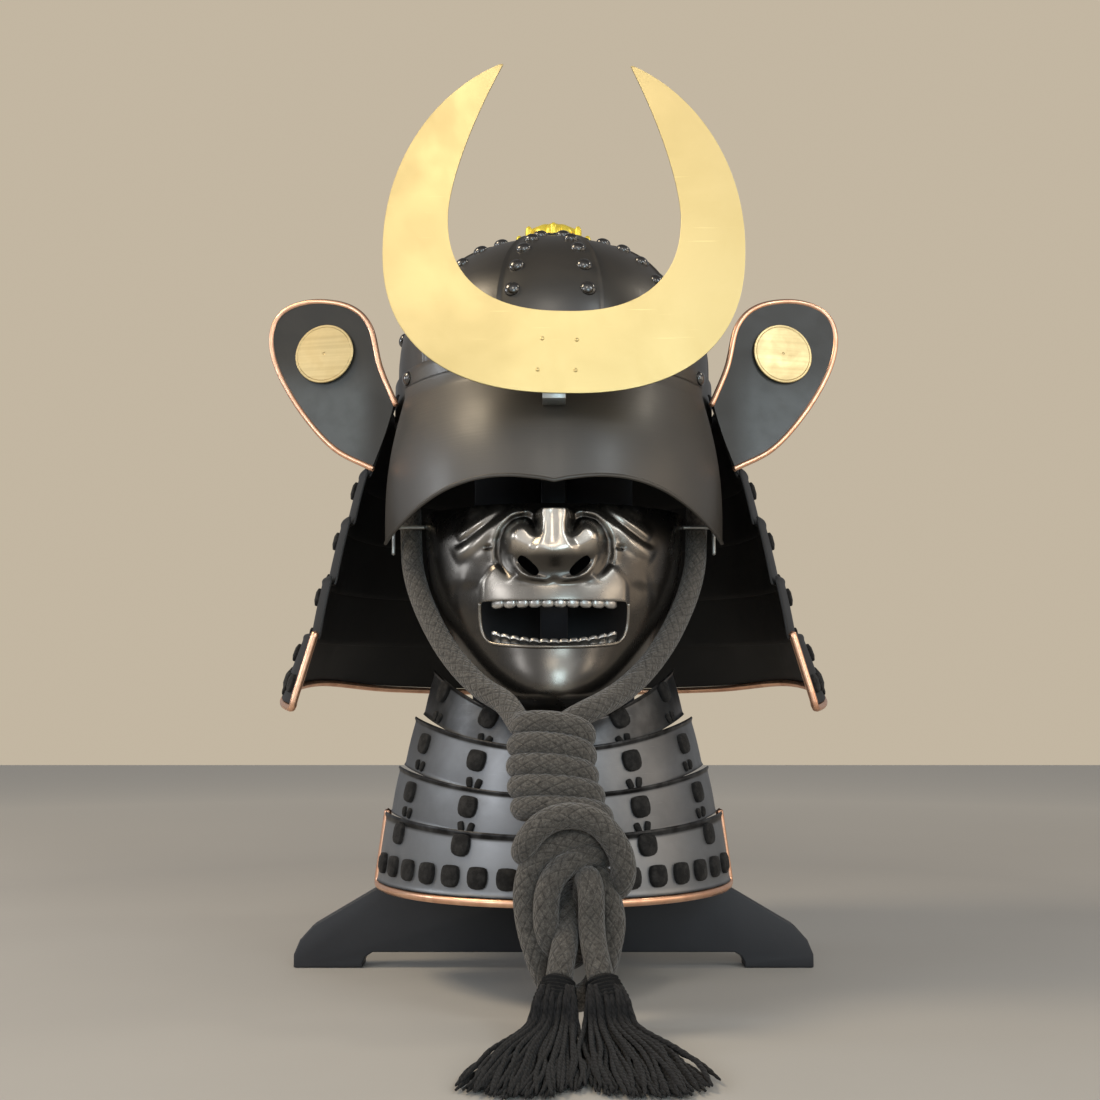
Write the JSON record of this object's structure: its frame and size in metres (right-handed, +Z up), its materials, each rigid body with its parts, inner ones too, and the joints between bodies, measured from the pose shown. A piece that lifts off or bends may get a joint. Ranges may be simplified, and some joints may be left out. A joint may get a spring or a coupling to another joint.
{
  "type": "samurai helmet with face mask on display stand",
  "caption": "Riveted samurai helmet with crescent crest, flared neck guard, grimacing face mask, throat guard and knotted chin cord, held by a slotted board stand.",
  "frame": {"origin": "on the surface that the stand rests on, under the middle of the object's box without its cord", "axes": "+Z up, -Y the way the helmet faces, +X towards a viewer's right"},
  "size_m": [0.4154, 0.5284, 0.5912],
  "materials": {
    "black_lacquer": "satin brown-black lacquer",
    "burnished_steel": "glossy burnished black",
    "grey_iron": "dull grey iron",
    "pale_brass": "satin pale brass, a little tarnished",
    "gilt": "bright gilt",
    "copper": "bright copper",
    "wing_black": "satin blue-black lacquer",
    "lame_black": "matt black lacquer with dark suede lacing",
    "lame_grey": "satin grey-blue sheen with dark suede lacing",
    "cord_grey": "mottled charcoal braid",
    "tassel_grey": "dark twisted yarn",
    "board_black": "matt bluish black paint"
  },
  "bodies": {
    "root": {"bowl": "black_lacquer", "waist_band": "black_lacquer", "brim": "black_lacquer", "crest_crescent": "pale_brass", "crest_holder": "grey_iron", "top_ornament": "gilt", "wing_left": "wing_black", "wing_right": "wing_black", "wing_rim_left": "copper", "wing_rim_right": "copper", "wing_disc_left": "pale_brass", "wing_disc_right": "pale_brass", "neck_lame_1": "lame_black", "neck_lame_2": "lame_black", "neck_lame_3": "lame_black", "neck_lame_4": "lame_black", "neck_lame_5": "lame_black", "neck_guard_rim": "copper", "mask_shell": "burnished_steel", "upper_teeth": "burnished_steel", "lower_teeth": "burnished_steel", "cheek_hook_left": "grey_iron", "cheek_hook_right": "grey_iron", "throat_lame_1": "lame_grey", "throat_lame_2": "lame_grey", "throat_lame_3": "lame_grey", "throat_lame_4": "lame_grey", "throat_guard_rim": "copper", "cord_anchor_left": "grey_iron", "cord_anchor_right": "grey_iron", "cord_leg_left": "cord_grey", "cord_leg_right": "cord_grey", "cord_wrap": "cord_grey", "cord_loop_outer": "cord_grey", "cord_loop_inner": "cord_grey", "cord_tail_left": "cord_grey", "cord_tail_right": "cord_grey", "tassel_left": "tassel_grey", "tassel_right": "tassel_grey", "stand_cross_board": "board_black", "stand_fore_board": "board_black"}
  },
  "joints": []
}
